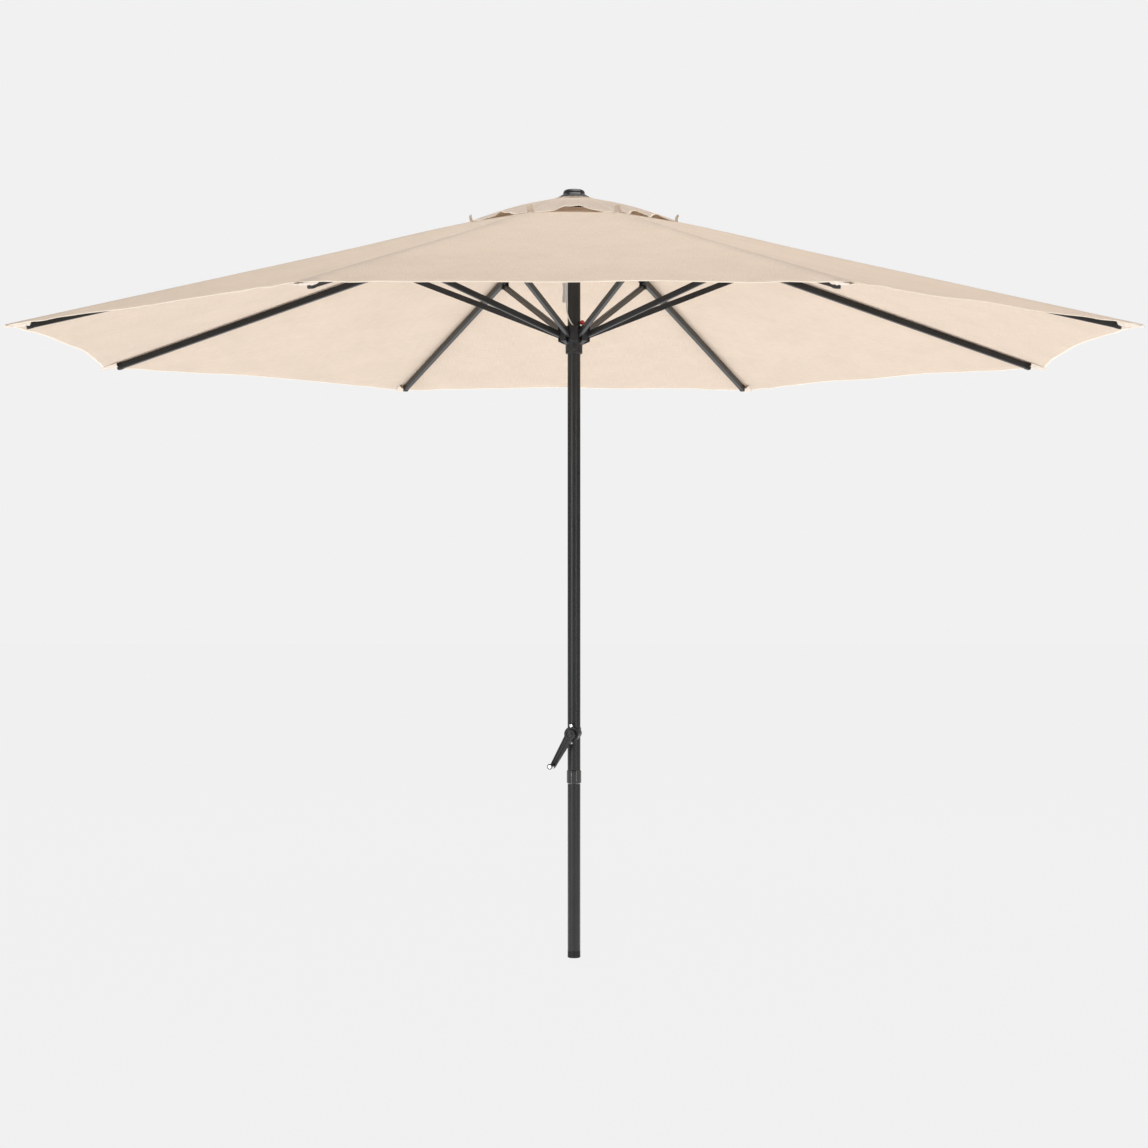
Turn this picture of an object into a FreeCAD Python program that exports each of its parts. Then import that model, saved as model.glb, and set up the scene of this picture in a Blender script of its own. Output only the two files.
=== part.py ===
"""Octagonal patio umbrella with a crank lift: pole, crank, runner, eight folding ribs and two canopies.

Frame: pole axis on Z, pole foot at z = 0, +Z up, the crank side faces -Y. All lengths are in mm.
Every rib group is drawn once in the plane of +X and +Z, then spun round the pole to its place.
"""
import FreeCAD
import Part
import math
import os

V = FreeCAD.Vector
UP = V(0, 0, 1)
ALONG = V(1, 0, 0)
ACROSS = V(0, 1, 0)
CENTRE = V(0, 0, 0)

# ---- overall sizes
canopy_radius = 1650.0        # pole axis to a canopy corner
total_height = 2270.0         # pole foot to the top of the finial
rib_count = 8
rib_slope = 14.83             # open ribs, degrees below horizontal
closed_slope = 85.5           # closed ribs, degrees below horizontal

# ---- pole
pole_outer_d = 38.0
pole_wall = 1.5
end_cap_height = 6.0
end_cap_plug = 30.0
collar_centre = 534.0         # height of the joint between the two pole lengths
collar_height = 40.0
collar_wall = 2.6              # collar beyond the pole
collar_chamfer = 2.5
sleeve_reach = 80.0           # inner sleeve each side of the joint
pole_fit = 0.1                # sliding fit of what goes inside or over the pole

# ---- ribs
rib_depth = 20.0
rib_width = 15.0
tube_wall = 0.9
rib_corner = 2.5
tip_length = 16.0
tip_plug = 26.0
tip_overhang = 0.8            # tip cap beyond the tube on each side
tip_inset = 56.0              # rib tips end this far inside the canopy's corners

# ---- struts
strut_depth = 17.0
strut_width = 13.0
strut_reach = 582.0           # pole axis to the bracket, measured level, when open
bracket_drop = 20.0           # bracket rivet below the rib's centre line
bracket_wall = 3.0
bracket_top = 1.4             # saddle wall between the rib and the cloth
bracket_length = 36.0
rivet_radius = 3.0
rivet_head_radius = 5.0
rivet_head = 1.6
running = 0.05                # radial clearance of a turning rivet
side_gap = 0.4                # clearance each side of a rib or strut in its slot

# ---- crown
pivot_below_top = 57.0        # rib pivots below the top of the finial
hub_core_wall = 10.0
hub_radius = 57.0
hub_plate = 6.0               # solid plate over the rib slots
slot_floor_gap = 3.0          # rib end to the bottom of its slot
pin_bite = 6.0                # rib pin into the hub on each side
finial_radius = 50.0
finial_shoulder = 32.0
finial_height = 27.0
finial_plug = 40.0

# ---- pulley and lift cord
cord_radius = 2.0
cord_gap = 1.0                # pole surface to the outer run of the cord
pulley_pitch = 12.0
pulley_width = 8.0
pulley_below_pivot = 48.0
pulley_pin_radius = 2.5

# ---- runner
runner_drop = 373.0           # rib pivots to the strut pivots, measured straight down
runner_gap = 0.4              # runner bore round the pole
runner_core_wall = 12.6
runner_face = 47.0            # pole axis to a flat of the socket ring
runner_pivot_gap = 12.0       # runner core to the strut pivots
ring_above = 25.0
ring_below = 18.0
bowl_height = 11.0
runner_sleeve_radius = 25.0
runner_sleeve_length = 26.0
bead_radius = 7.0
bead_azimuth = -22.0
bead_rise = 12.0

# ---- crank
crank_height = 662.0
crank_azimuth = -106.0
plate_radius = 22.0
plate_front = 30.0            # pole axis to the front of the housing
ear_radius = 6.5
ear_rise = 25.0
housing_bore = 14.0
shaft_radius = 6.0
drum_radius = 6.8
drum_flange = 12.0
drum_half = 8.0
brake_radius = 11.0
brake_thick = 3.0
rear_radius = 16.0
rear_lift = 8.0
rear_reach = 31.0
boss_radius = 14.8
arm_back = 34.0
arm_front = 44.0
boss_front = 46.5
arm_length = 107.8
arm_angle = 29.6              # arm from straight down, towards the left
arm_root = 13.0
arm_tip = 8.0
square = 8.0                  # square end of the crank shaft
knob_length = 30.0
knob_base = 7.0
knob_nose = 8.3
knob_pin_radius = 2.5
knob_head_radius = 5.6
screw_radius = 2.0
screw_head_radius = 4.4

# ---- fabric
fabric = 1.2
hem_inset = 42.0              # hem curves in from the straight line between two corners
panel_sag = 4.0
vent_radius = 170.0           # corner of the opening at the top of the canopy
cap_radius = 325.0            # corner of the vent cap
cap_rise = 22.0               # vent cap corner above the canopy
cap_inset = 14.0
cap_wave = 7.0
cap_waves = 3
tag_width = 14.0
tag_height = 58.0
tag_thick = 0.8

# ---- derived
pole_r = pole_outer_d / 2
bore_r = pole_r - pole_wall
sector = 360.0 / rib_count
rib_azimuths = [sector * (n + 0.5) for n in range(rib_count)]
slope = math.radians(rib_slope)
closed = math.radians(closed_slope)
crown_core = pole_r + hub_core_wall
crown_pivot_r = crown_core + slot_floor_gap + rib_depth / 2
crown_pivot_z = total_height - pivot_below_top
rib_length = (canopy_radius - tip_inset - crown_pivot_r) / math.cos(slope)
bracket_at = (strut_reach - crown_pivot_r) / math.cos(slope)
runner_core = pole_r + runner_core_wall
runner_pivot_r = runner_core + runner_pivot_gap
runner_pivot_z = crown_pivot_z - runner_drop
rib_slot = rib_width / 2 + side_gap
strut_slot = strut_width / 2 + side_gap + 0.2


def rib_point(angle, along, below):
    """Point in the rib's own plane: a distance along the rib and a distance below its centre line."""
    x = crown_pivot_r + along * math.cos(angle) - below * math.sin(angle)
    z = crown_pivot_z - along * math.sin(angle) - below * math.cos(angle)
    return V(x, 0, z)


open_bracket = rib_point(slope, bracket_at, bracket_drop)
closed_bracket = rib_point(closed, bracket_at, bracket_drop)
open_runner = V(runner_pivot_r, 0, runner_pivot_z)
strut_length = (open_bracket - open_runner).Length
strut_slope = math.asin((open_bracket.z - open_runner.z) / strut_length)
closed_reach = closed_bracket.x - runner_pivot_r
closed_strut_slope = math.acos(closed_reach / strut_length)
closed_runner_z = closed_bracket.z - strut_length * math.sin(closed_strut_slope)
runner_travel = runner_pivot_z - closed_runner_z


# ---- helpers
def spin(shape, azimuth):
    out = shape.copy()
    out.rotate(CENTRE, UP, azimuth)
    return out


def polar(radius, azimuth, height):
    a = math.radians(azimuth)
    return V(radius * math.cos(a), radius * math.sin(a), height)


def tube_z(outer, inner, low, high):
    body = Part.makeCylinder(outer, high - low, V(0, 0, low))
    return body.cut(Part.makeCylinder(inner, high - low + 2, V(0, 0, low - 1)))


def rod_y(radius, half, x=0.0, z=0.0):
    return Part.makeCylinder(radius, 2 * half, V(x, -half, z), ACROSS)


def rod_x(radius, low, high, y=0.0, z=0.0):
    return Part.makeCylinder(radius, high - low, V(low, y, z), ALONG)


def block(x0, x1, y0, y1, z0, z1):
    return Part.makeBox(x1 - x0, y1 - y0, z1 - z0, V(x0, y0, z0))


def fuse_all(shapes):
    return shapes[0].multiFuse(shapes[1:]).removeSplitter()


def revolve(points):
    wire = Part.makePolygon(points + [points[0]])
    return Part.Face(wire).revolve(CENTRE, UP, 360)


def long_edges(shape, direction):
    found = []
    for edge in shape.Edges:
        if edge.Curve.TypeId == "Part::GeomLine":
            if abs(edge.tangentAt(edge.FirstParameter).dot(direction)) > 0.999:
                found.append(edge)
    return found


def rim_edges(shape, radius, height):
    """Round edges about the pole axis with this radius at this height."""
    found = []
    for edge in shape.Edges:
        if edge.Curve.TypeId == "Part::GeomCircle" and abs(edge.Curve.Radius - radius) < 0.01:
            if abs(edge.Curve.Center.z - height) < 0.01:
                found.append(edge)
    return found


def bar(x0, x1, width, depth, corner):
    body = block(x0, x1, -width / 2, width / 2, -depth / 2, depth / 2)
    return body.makeFillet(corner, long_edges(body, ALONG))


def round_end(body, x, radius, half, towards, length):
    """Keep the body inside a round end at x, and inside the straight length behind it."""
    straight = block(min(x, x + towards * length), max(x, x + towards * length), -half, half, -radius, radius)
    return body.common(rod_y(radius, half, x).fuse(straight))


def write(node, *shapes):
    shape = shapes[0] if len(shapes) == 1 else Part.makeCompound(list(shapes))
    shape.exportStep("parts/" + node + ".step")


def crank_frame(shape):
    """Turn a shape drawn along +X at height 0 to the crank's axis."""
    out = shape.copy()
    out.translate(V(0, 0, crank_height))
    out.rotate(CENTRE, UP, crank_azimuth)
    return out


# ---- pole
def pole_lengths():
    low = tube_z(pole_r, bore_r, end_cap_height, collar_centre - collar_height / 2)
    top = crown_pivot_z + 20.0
    high = tube_z(pole_r, bore_r, collar_centre + collar_height / 2, top)
    slot_half = pulley_width / 2 + 1.2
    pulley_z = crown_pivot_z - pulley_below_pivot
    slot = block(-pole_r - 5, -bore_r + 6, -slot_half, slot_half, pulley_z - 19, pulley_z + 17)
    high = high.cut(slot)
    high = high.cut(rod_y(pulley_pin_radius + 0.02, pole_r + 5, pulley_x(), pulley_z))
    opening = rod_x(drum_flange + 0.5, 0, pole_r + 5)
    rear = rod_x(shaft_radius + 0.4, -pole_r - 5, 0)
    pilots = [rod_x(screw_radius, 0, pole_r + 5, 0, z) for z in (ear_rise, -ear_rise)]
    pilots.append(rod_x(screw_radius, -pole_r - 5, 0, 0, rear_lift + 9.0))
    high = high.cut(crank_frame(opening.multiFuse([rear] + pilots)))
    return low, high


def end_cap():
    plug = bore_r - pole_fit
    profile = [V(0, 0, 0), V(pole_r - 1.5, 0, 0), V(pole_r, 0, 1.5), V(pole_r, 0, end_cap_height),
               V(plug, 0, end_cap_height), V(plug, 0, end_cap_height + end_cap_plug - 2),
               V(plug - 2, 0, end_cap_height + end_cap_plug), V(plug - 4, 0, end_cap_height + end_cap_plug),
               V(plug - 4, 0, 4), V(0, 0, 4)]
    return revolve(profile)


def joint_collar():
    """Ring between the two pole lengths, butted by both and slid over the inner sleeve."""
    inner = bore_r
    outer = pole_r + collar_wall
    low = collar_centre - collar_height / 2
    high = collar_centre + collar_height / 2
    c = collar_chamfer
    return revolve([V(inner, 0, low), V(outer - c, 0, low), V(outer, 0, low + c), V(outer, 0, high - c),
                    V(outer - c, 0, high), V(inner, 0, high)])


# ---- crown
def crown_hub():
    inner = pole_r + pole_fit
    top = crown_pivot_z + rib_depth / 2 + 1.5 + hub_plate
    low = crown_pivot_z - rib_depth / 2 - 4
    neck = total_height - finial_height - 4.0
    body = revolve([V(inner, 0, low - 12), V(crown_core - 3, 0, low - 12), V(crown_core, 0, low - 9),
                    V(crown_core, 0, low), V(hub_radius - 3, 0, low), V(hub_radius, 0, low + 3),
                    V(hub_radius, 0, top - 2), V(hub_radius - 2, 0, top), V(crown_core, 0, top + 3),
                    V(crown_core, 0, neck), V(inner, 0, neck)])
    slot_top = crown_pivot_z + rib_depth / 2 + 1.5
    cuts = []
    for azimuth in rib_azimuths:
        slot = block(crown_core, hub_radius + 5, -rib_slot, rib_slot, low - 20, slot_top)
        hole = rod_y(rivet_radius + 0.02, rib_slot + pin_bite, crown_pivot_r, crown_pivot_z)
        cuts.append(spin(slot, azimuth))
        cuts.append(spin(hole, azimuth))
    return body.cut(cuts)


def crown_pins():
    half = rib_slot + pin_bite - 0.1
    pin = rod_y(rivet_radius, half, crown_pivot_r, crown_pivot_z)
    return [spin(pin, azimuth) for azimuth in rib_azimuths]


def finial():
    base = total_height - finial_height
    plug = bore_r - pole_fit
    waist = finial_height * 0.5
    body = revolve([V(0, 0, total_height), V(finial_shoulder, 0, total_height), V(finial_shoulder, 0, base + waist),
                    V(finial_radius, 0, base + 3), V(finial_radius, 0, base), V(plug, 0, base),
                    V(plug, 0, base - finial_plug + 3), V(plug - 2, 0, base - finial_plug), V(0, 0, base - finial_plug)])
    body = body.makeFillet(10.0, rim_edges(body, finial_shoulder, total_height))
    body = body.makeFillet(7.0, rim_edges(body, finial_shoulder, base + waist))
    return body.makeFillet(1.6, rim_edges(body, finial_radius, base + 3))


# ---- pulley
def pulley_x():
    return -(pole_r + cord_gap + cord_radius) + pulley_pitch


def pulley():
    z = crown_pivot_z - pulley_below_pivot
    rim = pulley_pitch + cord_radius
    half = pulley_width / 2
    wheel = rod_y(rim, half, pulley_x(), z)
    groove = Part.makeTorus(pulley_pitch, cord_radius + 0.25, V(pulley_x(), 0, z), ACROSS)
    mouth_cut = rod_y(rim + 1, cord_radius + 0.25, pulley_x(), z)
    mouth = mouth_cut.cut(rod_y(pulley_pitch, cord_radius + 1, pulley_x(), z))
    bore = rod_y(pulley_pin_radius + running, half + 1, pulley_x(), z)
    return wheel.cut([groove, mouth, bore])


def pulley_pin():
    z = crown_pivot_z - pulley_below_pivot
    reach = math.sqrt(pole_r ** 2 - pulley_x() ** 2)
    return rod_y(pulley_pin_radius, reach, pulley_x(), z)


# ---- ribs and struts
def rib_tube():
    tube_end = rib_length - tip_length
    outer = bar(-rib_depth, tube_end, rib_width, rib_depth, rib_corner)
    inner = bar(-rib_depth - 1, tube_end + 1, rib_width - 2 * tube_wall, rib_depth - 2 * tube_wall,
                rib_corner - tube_wall / 2)
    body = round_end(outer.cut(inner), 0, rib_depth / 2, rib_width, 1, rib_length)
    rivet_hole = rod_y(rivet_radius + running, rib_width)
    return body.cut(rivet_hole)


def rib_tip():
    start = rib_length - tip_length
    gap = 0.15
    plug = bar(start - tip_plug, start + 1, rib_width - 2 * (tube_wall + gap), rib_depth - 2 * (tube_wall + gap),
               2.2)
    head = bar(start, rib_length, rib_width + 2 * tip_overhang, rib_depth + 2 * tip_overhang, rib_corner)
    nose = [e for e in head.Edges if min(v.X for v in e.Vertexes) > rib_length - 0.01]
    return head.makeChamfer(2.0, nose).fuse(plug).removeSplitter()


def rib_bracket():
    outer = rib_width / 2 + bracket_wall
    inner = rib_width / 2 + running
    top = rib_depth / 2
    x0 = bracket_at - bracket_length / 2
    x1 = bracket_at + bracket_length / 2
    saddle = block(x0, x1, -outer, outer, -top - 1, top + bracket_top)
    saddle = saddle.makeFillet(2.0, long_edges(saddle, ALONG))
    ear = strut_depth / 2 + 0.5
    ears = block(bracket_at - ear, bracket_at + ear, -outer, outer, -bracket_drop, -top + 4)
    ears = ears.fuse(rod_y(ear, outer, bracket_at, -bracket_drop))
    gap = block(x0 - 1, x1 + 1, -inner, inner, -bracket_drop - 20, top + running)
    hole = rod_y(rivet_radius + 0.02, outer + 1, bracket_at, -bracket_drop)
    body = saddle.fuse(ears).cut([gap, hole]).removeSplitter()
    pin = rod_y(rivet_radius, outer + rivet_head, bracket_at, -bracket_drop)
    heads = []
    for side in (-1, 1):
        head = Part.makeCylinder(rivet_head_radius, rivet_head, V(bracket_at, side * outer, -bracket_drop),
                                 V(0, side, 0))
        heads.append(head)
    return body, fuse_all([pin] + heads)


def strut():
    radius = strut_depth / 2
    outer = bar(-radius, strut_length + radius, strut_width, strut_depth, rib_corner)
    inner = bar(-radius - 1, strut_length + radius + 1, strut_width - 2 * tube_wall, strut_depth - 2 * tube_wall,
                rib_corner - tube_wall / 2)
    body = outer.cut(inner)
    body = round_end(body, 0, radius, strut_width, 1, strut_length + radius)
    body = round_end(body, strut_length, radius, strut_width, -1, strut_length + radius)
    body = body.cut([rod_y(rivet_radius + running, strut_width), rod_y(rivet_radius + 0.02, strut_width, strut_length)])
    return body, rod_y(rivet_radius, strut_width / 2 + 0.3, strut_length)


def place_rib(shape, azimuth):
    out = shape.copy()
    out.rotate(CENTRE, ACROSS, rib_slope)
    out.translate(V(crown_pivot_r, 0, crown_pivot_z))
    return spin(out, azimuth)


def place_strut(shape, azimuth):
    out = shape.copy()
    out.rotate(CENTRE, ACROSS, 180.0 - math.degrees(strut_slope))
    out.translate(open_bracket)
    return spin(out, azimuth)


# ---- runner
def runner():
    inner = pole_r + runner_gap
    top = runner_pivot_z + ring_above
    low = runner_pivot_z - ring_below
    sleeve_top = low - bowl_height
    foot = sleeve_top - runner_sleeve_length
    side = runner_face / math.cos(math.radians(sector / 2))
    corners = [polar(side, azimuth, low) for azimuth in rib_azimuths]
    ring = Part.Face(Part.makePolygon(corners + [corners[0]])).extrude(V(0, 0, top - low))
    ring = ring.makeChamfer(1.5, [e for e in ring.Edges if min(v.Z for v in e.Vertexes) > top - 0.01])
    lower = revolve([V(0, 0, foot), V(runner_sleeve_radius - 1.5, 0, foot), V(runner_sleeve_radius, 0, foot + 1.5),
                     V(runner_sleeve_radius, 0, sleeve_top), V(runner_face - 1, 0, low - 1),
                     V(runner_face - 1, 0, low + 2), V(0, 0, low + 2)])
    body = ring.fuse(lower)
    cuts = [Part.makeCylinder(inner, top - foot + 4, V(0, 0, foot - 2))]
    for azimuth in rib_azimuths:
        cuts.append(spin(block(runner_core, side + 10, -strut_slot, strut_slot, foot - 2, top + 2), azimuth))
    groove_low = groove_height() - 4
    cuts.append(tube_z(runner_core - 2.4, inner - 1, groove_low, groove_low + 11.5))
    front = polar(cord_orbit(), -90, groove_low + 2)
    cuts.append(Part.makeCylinder(cord_radius + 1.2, top - groove_low, front))
    under_bead = polar(bead_orbit(), bead_azimuth, groove_low + 2)
    cuts.append(Part.makeCylinder(cord_radius + 1.2, top - groove_low, under_bead))
    grip = foot + runner_sleeve_length * 0.45
    cuts.append(Part.makeCylinder(3.05, 20, V(0, -pole_r - runner_gap, grip), V(0, -1, 0)))
    return body.cut(cuts).removeSplitter()


def runner_screw():
    foot = runner_pivot_z - ring_below - bowl_height - runner_sleeve_length
    grip = foot + runner_sleeve_length * 0.45
    start = -pole_r - runner_gap - 1.0
    shank = Part.makeCylinder(3.0, runner_sleeve_radius + start + 1, V(0, start, grip), V(0, -1, 0))
    head = Part.makeCylinder(5.5, 2.6, V(0, -runner_sleeve_radius - 0.1, grip), V(0, -1, 0))
    outside = min(head.Edges, key=lambda edge: edge.BoundBox.Center.y)
    head = head.makeFillet(1.0, [outside])
    return shank.fuse(head).removeSplitter()


# ---- cord route
def cord_orbit():
    return pole_r + runner_gap + cord_radius


def bead_orbit():
    return pole_r + bead_radius + 0.4


def groove_height():
    return runner_pivot_z + 2.0


def lift_cord():
    """Cord from the drum up inside the pole, over the pulley, down, round the pole and through the runner."""
    pulley_z = crown_pivot_z - pulley_below_pivot
    ring_top = runner_pivot_z + ring_above
    wrap_drop = 60.0
    lateral = polar(1.0, crank_azimuth + 90, 0)
    axis = polar(1.0, crank_azimuth, 0)
    centre = V(0, 0, crank_height)
    drum_pitch = drum_radius + cord_radius + 0.3
    route = []
    for step in range(11):
        turn = math.radians(110 + 250 * step / 10.0)
        route.append(centre + lateral * (drum_pitch * math.cos(turn)) + UP * (drum_pitch * math.sin(turn)))
    route.append(route[-1] + UP * 4)
    for step in range(11):
        turn = math.radians(180.0 * step / 10.0)
        route.append(V(pulley_x() + pulley_pitch * math.cos(turn), 0, pulley_z + pulley_pitch * math.sin(turn)))
    for step in range(9):
        share = step / 8.0
        orbit = pulley_pitch - pulley_x() + (cord_orbit() - pulley_pitch + pulley_x()) * share
        route.append(polar(orbit, 180 + 90 * share, ring_top + wrap_drop * (1 - share) ** 1.3))
    for step in range(9):
        share = step / 8.0
        orbit = cord_orbit() + (bead_orbit() - cord_orbit()) * share
        dip = 6.0 - 5.5 * math.sin(math.pi * share)
        route.append(polar(orbit, -90 + (90 + bead_azimuth) * share, groove_height() + dip))
    route.append(V(route[-1].x, route[-1].y, ring_top + bead_rise - bead_radius + 1))
    lengths = [Part.makeCylinder(cord_radius, (b - a).Length, a, b - a) for a, b in zip(route, route[1:])]
    bends = [Part.makeSphere(cord_radius + 0.04, point) for point in route[1:-1]]
    coils = []
    for place in (-1, 1):
        middle = centre + axis * (place * (2 * cord_radius + 0.3))
        coils.append(Part.makeTorus(drum_pitch, cord_radius, middle, axis))
    return lengths[0].multiFuse(lengths[1:] + bends).Solids + coils


def stop_bead():
    middle = polar(bead_orbit(), bead_azimuth, runner_pivot_z + ring_above + bead_rise)
    ball = Part.makeSphere(bead_radius, middle)
    hole = Part.makeCylinder(cord_radius + 0.05, 2 * bead_radius, middle - V(0, 0, 2 * bead_radius - 2.5))
    return ball.cut(hole)


def care_tag():
    ring_top = runner_pivot_z + ring_above
    x = -(pole_r + cord_gap + 2 * cord_radius + 0.6)
    low = ring_top + 66.0
    flag = block(x - tag_width, x, -tag_thick / 2, tag_thick / 2, low, low + tag_height)
    flag = flag.makeFillet(2.0, long_edges(flag, ACROSS))
    loop_x = -(pole_r + cord_gap + cord_radius)
    loop = Part.makeTorus(cord_radius + 1.4, 0.6, V(loop_x, 0, low + tag_height - 6), UP)
    return flag.fuse(loop.cut(tube_z(pole_r + 0.2, 1, low, low + tag_height))).removeSplitter()


# ---- crank
def crank_housing():
    side = rod_x(plate_radius, 8, plate_front)
    upper = rod_x(ear_radius, 8, plate_front, 0, ear_rise)
    lower = rod_x(ear_radius, 8, plate_front, 0, -ear_rise)
    cheek = block(8, plate_front, -ear_radius, ear_radius, -ear_rise, ear_rise)
    body = fuse_all([side, upper, lower, cheek])
    edges = [e for e in body.Edges if min(v.X for v in e.Vertexes) > plate_front - 0.01]
    body = body.makeChamfer(1.2, edges)
    pole_cut = Part.makeCylinder(pole_r + running, 200, V(0, 0, -100))
    cavity = rod_x(housing_bore, 0, plate_front - 4)
    bearing = rod_x(shaft_radius + running, 0, plate_front + 5)
    screws = [rod_x(screw_radius + 0.1, 0, plate_front + 5, 0, z) for z in (ear_rise, -ear_rise)]
    return crank_frame(body.cut([pole_cut, cavity, bearing] + screws))


def crank_rear_cover():
    low = rod_x(rear_radius, -rear_reach, -8)
    high = rod_x(rear_radius - 2, -rear_reach, -8, 0, rear_lift + 3)
    body = low.fuse(high).removeSplitter()
    edges = [e for e in body.Edges if max(v.X for v in e.Vertexes) < -rear_reach + 0.01]
    body = body.makeChamfer(3.0, edges)
    pole_cut = Part.makeCylinder(pole_r + running, 200, V(0, 0, -100))
    bearing = rod_x(shaft_radius + running, -pole_r - 4.5, 0)
    screw = rod_x(screw_radius + 0.1, -rear_reach - 5, 0, 0, rear_lift + 9.0)
    return crank_frame(body.cut([pole_cut, bearing, screw]))


def pan_screw(face, towards, z, length):
    """Pan-head screw with a cross recess, its head on the face and its shank running back."""
    head = Part.makeCylinder(screw_head_radius, 2.2, V(face, 0, z), V(towards, 0, 0))
    shank = Part.makeCylinder(screw_radius, length + 1, V(face + towards, 0, z), V(-towards, 0, 0))
    body = head.fuse(shank).removeSplitter()
    front = face + towards * 2.2
    cross = []
    for half_y, half_z in ((2.6, 0.5), (0.5, 2.6)):
        cross.append(block(min(front, front - towards * 1.1), max(front, front - towards * 1.1), -half_y, half_y,
                           z - half_z, z + half_z))
    return crank_frame(body.cut(cross))


def housing_screws():
    depth = plate_front - pole_r + pole_wall + 2
    screws = [pan_screw(plate_front + 0.05, 1, z, depth) for z in (ear_rise, -ear_rise)]
    screws.append(pan_screw(-rear_reach - 0.05, -1, rear_lift + 9.0, rear_reach - pole_r + pole_wall + 2))
    return screws


def brake_ring():
    """Friction ring between the drum and the housing's bearing wall."""
    start = plate_front - 4 - brake_thick - 0.2
    ring = rod_x(brake_radius, start, start + brake_thick).cut(rod_x(shaft_radius + 0.4, start - 1, plate_front))
    return crank_frame(ring)


def crank_spool():
    shaft = rod_x(shaft_radius, -pole_r - 4, plate_front + 2)
    drum = rod_x(drum_radius, -drum_half, drum_half)
    flanges = [rod_x(drum_flange, side * drum_half - 0.75, side * drum_half + 0.75) for side in (-1, 1)]
    drive = block(plate_front, arm_front - 2, -square / 2, square / 2, -square / 2, square / 2)
    body = fuse_all([shaft, drum, drive] + flanges)
    tapped = rod_x(2.5, arm_front - 16, arm_front)
    return crank_frame(body.cut(tapped))


def arm_outline(root, tip, x0, x1):
    """Tapered web between two rounds whose sides are tangent to both, hanging straight down."""
    lean = math.asin((root - tip) / arm_length)
    points = []
    for side, radius, drop in ((1, root, 0), (1, tip, arm_length), (-1, tip, arm_length), (-1, root, 0)):
        points.append(V(x0, side * radius * math.cos(lean), -drop - radius * math.sin(lean)))
    web = Part.Face(Part.makePolygon(points + [points[0]])).extrude(V(x1 - x0, 0, 0))
    return fuse_all([web, rod_x(root, x0, x1), rod_x(tip, x0, x1, 0, -arm_length)])


def swing_arm(shape):
    out = shape.copy()
    out.rotate(CENTRE, ALONG, -arm_angle)
    return crank_frame(out)


def crank_arm():
    body = arm_outline(arm_root, arm_tip, arm_back, arm_front)
    boss = rod_x(boss_radius, arm_back - 1, boss_front)
    boss = boss.makeChamfer(1.0, [e for e in boss.Edges if min(v.X for v in e.Vertexes) > boss_front - 0.01])
    groove = arm_outline(arm_root - 3.5, arm_tip - 3.0, arm_front - 3.0, arm_front + 1)
    keep_out = [rod_x(boss_radius + 1, arm_front - 4, arm_front + 2), rod_x(arm_tip, arm_front - 4, arm_front + 2, 0, -arm_length)]
    spine = block(arm_front - 4, arm_front + 2, -1.1, 1.1, -arm_length, 0)
    groove = groove.cut(keep_out + [spine])
    body = body.cut(groove).fuse(boss).removeSplitter()
    fit = square / 2 + 0.06
    drive = block(arm_back - 2, arm_front + 1, -fit, fit, -fit, fit)
    drive.rotate(CENTRE, ALONG, arm_angle)
    recess = rod_x(10.6, boss_front - 3.0, boss_front + 1)
    pin_hole = rod_x(knob_pin_radius + 0.02, arm_back - 2, arm_front + 1, 0, -arm_length)
    return swing_arm(body.cut([drive, recess, pin_hole]))


def crank_screw():
    seat = boss_front - 3.0 + 0.05
    washer = rod_x(8.4, seat, seat + 1.2)
    head = rod_x(5.4, seat + 1.2, seat + 4.4)
    head = head.makeChamfer(0.8, [e for e in head.Edges if min(v.X for v in e.Vertexes) > seat + 4.39])
    shank = rod_x(2.48, arm_front - 14, seat + 1)
    socket = block(seat + 2.6, seat + 5, -1.7, 1.7, -1.7, 1.7)
    return crank_frame(fuse_all([washer, head, shank]).cut(socket))


def crank_knob():
    start = arm_front + 0.4
    end = start + knob_length
    profile = [V(start, 0, 0), V(start, knob_base - 1, 0), V(start + 1, knob_base, 0), V(end - 5, knob_nose, 0),
               V(end - 1, knob_nose, 0), V(end, knob_nose - 1, 0), V(end, 0, 0)]
    body = Part.Face(Part.makePolygon(profile + [profile[0]])).revolve(CENTRE, ALONG, 360)
    body = body.cut([rod_x(knob_pin_radius + running, start - 1, end + 1),
                     rod_x(knob_head_radius + 0.4, end - 1.8, end + 1)])
    body.translate(V(0, 0, -arm_length))
    return swing_arm(body)


def knob_pin():
    end = arm_front + 0.4 + knob_length
    pin = rod_x(knob_pin_radius, arm_back + 0.5, end)
    head = rod_x(knob_head_radius, end - 1.4, end + 0.8)
    head = head.makeFillet(0.7, [e for e in head.Edges if min(v.X for v in e.Vertexes) > end + 0.79])
    body = pin.fuse(head).removeSplitter()
    body.translate(V(0, 0, -arm_length))
    return swing_arm(body)


# ---- fabric
def sewn_sheet(outer_curves, inner_curves):
    """Thin closed sheet ruled between a hem and an opening, one curve of each for every panel."""
    lift = V(0, 0, fabric)
    faces = []
    for hem, mouth in zip(outer_curves, inner_curves):
        upper_hem = hem.copy()
        upper_hem.translate(lift)
        upper_mouth = mouth.copy()
        upper_mouth.translate(lift)
        faces.append(Part.makeRuledSurface(hem, mouth))
        faces.append(Part.makeRuledSurface(upper_hem, upper_mouth))
        faces.append(Part.makeRuledSurface(hem, upper_hem))
        faces.append(Part.makeRuledSurface(mouth, upper_mouth))
    shell = Part.makeShell(faces)
    shell.sewShape()
    solid = Part.makeSolid(Part.Shell(shell.Faces))
    if solid.Volume < 0:
        solid.reverse()
    return solid


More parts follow.
